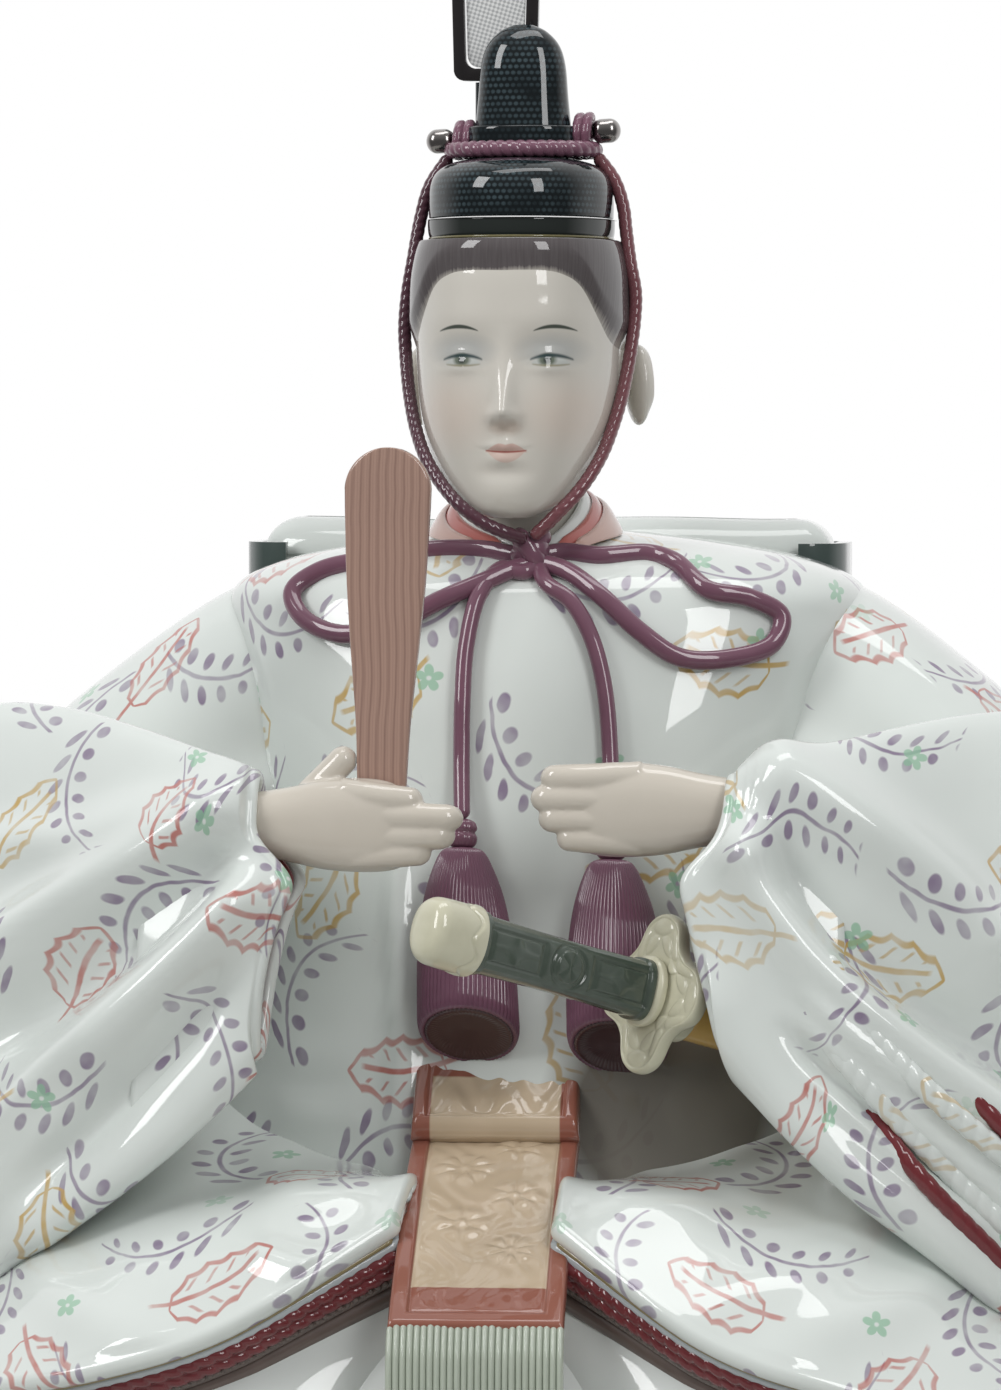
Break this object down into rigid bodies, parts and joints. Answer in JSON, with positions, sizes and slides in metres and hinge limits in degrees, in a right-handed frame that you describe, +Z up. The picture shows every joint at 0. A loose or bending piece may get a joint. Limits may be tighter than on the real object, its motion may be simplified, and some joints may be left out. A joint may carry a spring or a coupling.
{
  "type": "hina doll",
  "caption": "Seated emperor hina doll in glazed porcelain with draped robe, tied cords, lift-out baton, sword that draws from its scabbard and a removable gauze plume.",
  "frame": {"origin": "on the resting plane, under the middle of the shoulders", "axes": "+Z up, -Y the way the doll faces, +X towards the doll's own left hand"},
  "size_m": [0.297, 0.2192, 0.34],
  "materials": {
    "robe": "clear gloss glaze over painted sprigs and leaves",
    "trousers": "clear gloss glaze, plain",
    "skin": "satin gloss glaze, painted features",
    "hair": "gloss glaze over fine combed lines",
    "cap": "gloss black glaze over a woven relief",
    "hairpin": "dark metallic lustre glaze",
    "cord": "gloss glaze over a twisted relief",
    "tassel": "gloss glaze over fine strands",
    "baton": "gloss glaze over painted wood grain",
    "grip": "gloss glaze over engraved panels",
    "cream": "gloss cream glaze over relief",
    "scabbard": "gloss ochre glaze",
    "sash": "gloss glaze over floral relief, russet borders",
    "fringe": "gloss glaze over ribs",
    "crimson": "gloss crimson glaze",
    "pale": "gloss pale grey glaze",
    "brown": "gloss brown glaze over beading",
    "coral": "gloss coral glaze",
    "pink": "gloss pink beige glaze",
    "belt": "gloss dark green glaze",
    "plume_frame": "black lacquer on wire",
    "plume_gauze": "stiff silver white gauze"
  },
  "bodies": {
    "figure": {"hairpin": "hairpin", "bow_knot": "cord", "right_tassel_knob": "cord", "left_tassel_knob": "cord", "right_tassel": "tassel", "left_tassel": "tassel", "right_cord_tail": "cord", "left_cord_tail": "cord", "right_bow_loop": "cord", "left_bow_loop": "cord", "right_pin_wrap": "cord", "left_pin_wrap": "cord", "cap_cord": "cord", "right_chin_cord": "cord", "left_chin_cord": "cord", "cap_upright": "cap", "cap_upright_band": "cap", "plume_socket": "cap", "cap_brim": "cap", "cap_crown": "cap", "hair": "hair", "head": "skin", "right_sleeve_lining": "crimson", "left_sleeve_lining": "crimson", "right_hand": "skin", "left_hand": "skin", "scabbard_collar": "cream", "scabbard": "scabbard", "trunk_robe": "robe", "sash_fold": "sash", "sash_panel": "sash", "sash_fringe": "fringe", "neck": "skin", "inner_collar": "robe", "red_collar": "coral", "outer_collar": "pink", "back_belt": "belt", "right_sleeve": "robe", "left_sleeve": "robe", "right_knee_panel": "robe", "right_pale_underrobe_hem": "pale", "right_crimson_underrobe_hem": "crimson", "right_brown_underrobe_hem": "brown", "left_knee_panel": "robe", "left_pale_underrobe_hem": "pale", "left_crimson_underrobe_hem": "crimson", "left_brown_underrobe_hem": "brown", "trousers_front": "trousers", "right_trouser_leg": "trousers", "left_trouser_leg": "trousers", "back_pouch": "robe", "back_robe": "robe"},
    "baton": {"baton": "baton"},
    "sword": {"sword_peg": "cream", "sword_guard": "cream", "guard_collar": "cream", "sword_grip": "grip", "sword_pommel": "cream"},
    "plume": {"plume_frame": "plume_frame", "plume_gauze": "plume_gauze"}
  },
  "joints": [
    {"name": "baton_lift", "type": "slide", "parent": "figure", "child": "baton", "axis": [0.022, 0, 0.9998], "range_m": [0, 0.03]},
    {"name": "sword_draw", "type": "slide", "parent": "figure", "child": "sword", "axis": [-0.6469, -0.7125, 0.2719], "range_m": [0, 0.03]},
    {"name": "plume_lift", "type": "slide", "parent": "figure", "child": "plume", "axis": [0, 0, 1], "range_m": [0, 0.021]}
  ]
}
